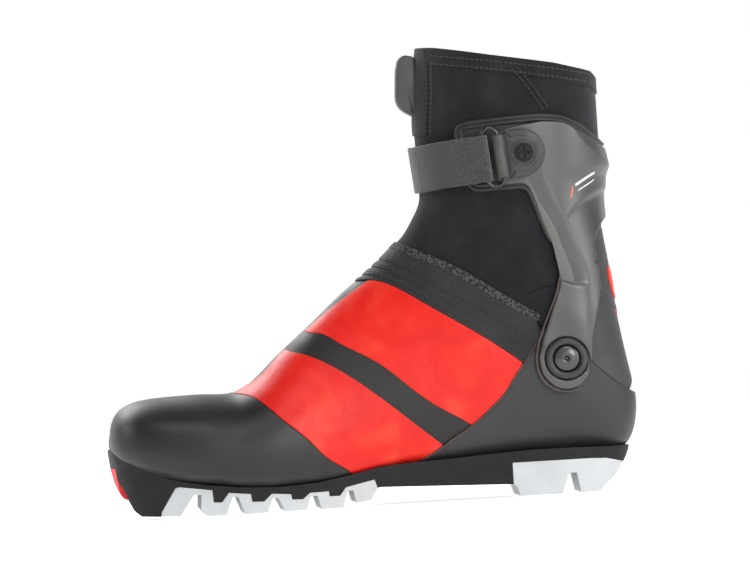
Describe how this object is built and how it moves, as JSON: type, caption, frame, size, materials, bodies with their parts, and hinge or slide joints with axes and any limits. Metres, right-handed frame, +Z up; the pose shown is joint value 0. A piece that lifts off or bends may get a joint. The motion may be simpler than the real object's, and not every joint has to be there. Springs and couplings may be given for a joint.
{
  "type": "cross country ski boot",
  "caption": "Ankle-high skating ski boot with a hinged cuff, strap and ring, stretch collar, instep zip and a two-part tread with a toe bar.",
  "frame": {"origin": "ground level below the middle of the boot's bounding box", "axes": "+Z up, the toe points to -X, the medial side faces -Y"},
  "size_m": [0.2936, 0.1068, 0.2495],
  "materials": {
    "black_shell": "smooth satin black laminate",
    "red_film": "smooth satin orange-red film",
    "black_fabric": "matt black woven textile",
    "grey_ribbed": "dark grey ribbed stretch band",
    "counter_grey": "smooth dark grey moulded plastic",
    "piping": "thin piping",
    "padding": "soft padded lining",
    "board": "stiff board",
    "footbed": "cushioned insole",
    "neoprene": "black neoprene",
    "red_insert": "red moulded rubber",
    "black_rubber": "black sole rubber",
    "grey_tread": "light grey tread rubber",
    "steel": "brushed steel",
    "dark_steel": "darkened steel",
    "cuff_grey": "satin fibre-filled plastic",
    "trim_black": "soft black edge trim",
    "tab_grey": "grey rubber",
    "webbing": "grey hook and loop webbing",
    "tab_black": "black moulded plastic",
    "zip_black": "coated zip tape"
  },
  "bodies": {
    "boot": {"toe_cap": "black_shell", "front_panel_medial": "red_film", "front_panel_lateral": "red_film", "stripe_medial": "black_shell", "stripe_lateral": "black_shell", "rear_panel_medial": "red_film", "rear_panel_lateral": "red_film", "flex_band_medial": "grey_ribbed", "flex_band_lateral": "grey_ribbed", "instep_cover": "black_shell", "heel_counter": "counter_grey", "counter_piping": "piping", "rear_quarter": "counter_grey", "textile_upper": "black_fabric", "foot_lining": "padding", "lasting_board": "board", "footbed": "footbed", "tongue": "padding", "gaiter": "black_fabric", "gaiter_lining": "padding", "toe_insert": "red_insert", "outsole_frame": "black_rubber", "toe_bar": "steel", "forefoot_tread_medial": "grey_tread", "forefoot_tread_centre": "grey_tread", "forefoot_tread_lateral": "grey_tread", "heel_tread_medial": "grey_tread", "heel_tread_centre": "grey_tread", "heel_tread_lateral": "grey_tread", "pivot_bushes": "dark_steel", "pivot_bolts": "dark_steel", "pivot_nuts": "steel", "zip_tape": "zip_black"},
    "cuff": {"cuff_shell": "cuff_grey", "cuff_trim": "trim_black", "pivot_rings": "tab_black", "collar": "neoprene", "collar_lining": "padding", "placket": "neoprene", "collar_hem": "neoprene", "achilles_panel": "counter_grey", "heel_flash": "red_film", "pull_tab": "tab_grey", "strap_washers": "tab_black", "strap_screws": "dark_steel", "strap_nuts": "steel"},
    "strap": {"strap_webbing": "webbing", "strap_tab": "tab_black", "strap_anchor": "tab_black"},
    "ring": {"strap_ring": "dark_steel"},
    "zip_slider": {"zip_slider": "dark_steel"},
    "zip_puller": {"zip_puller": "tab_black"}
  },
  "joints": [
    {"name": "cuff_pivot", "type": "hinge", "parent": "boot", "child": "cuff", "pos_m": [0.107, 0, 0.074], "axis": [0, -1, 0], "range_deg": [-5, 12], "deforming": ["gaiter", "gaiter_lining"]},
    {"name": "strap_swivel", "type": "hinge", "parent": "cuff", "child": "strap", "pos_m": [0.09, 0, 0.188], "axis": [0, 1, 0], "range_deg": [-1, 5]},
    {"name": "ring_swing", "type": "hinge", "parent": "strap", "child": "ring", "pos_m": [0.07706, -0.04839, 0.18675], "axis": [-0.0958, 0, 0.9954], "range_deg": [-4, 4]},
    {"name": "zip_slide", "type": "slide", "parent": "boot", "child": "zip_slider", "axis": [-0.806, 0, -0.5919], "range_m": [0, 0.066]},
    {"name": "puller_swing", "type": "hinge", "parent": "zip_slider", "child": "zip_puller", "pos_m": [0.00687, 0.0205, 0.12759], "axis": [0.3968, 0.742, -0.5403], "range_deg": [0, 150]}
  ]
}
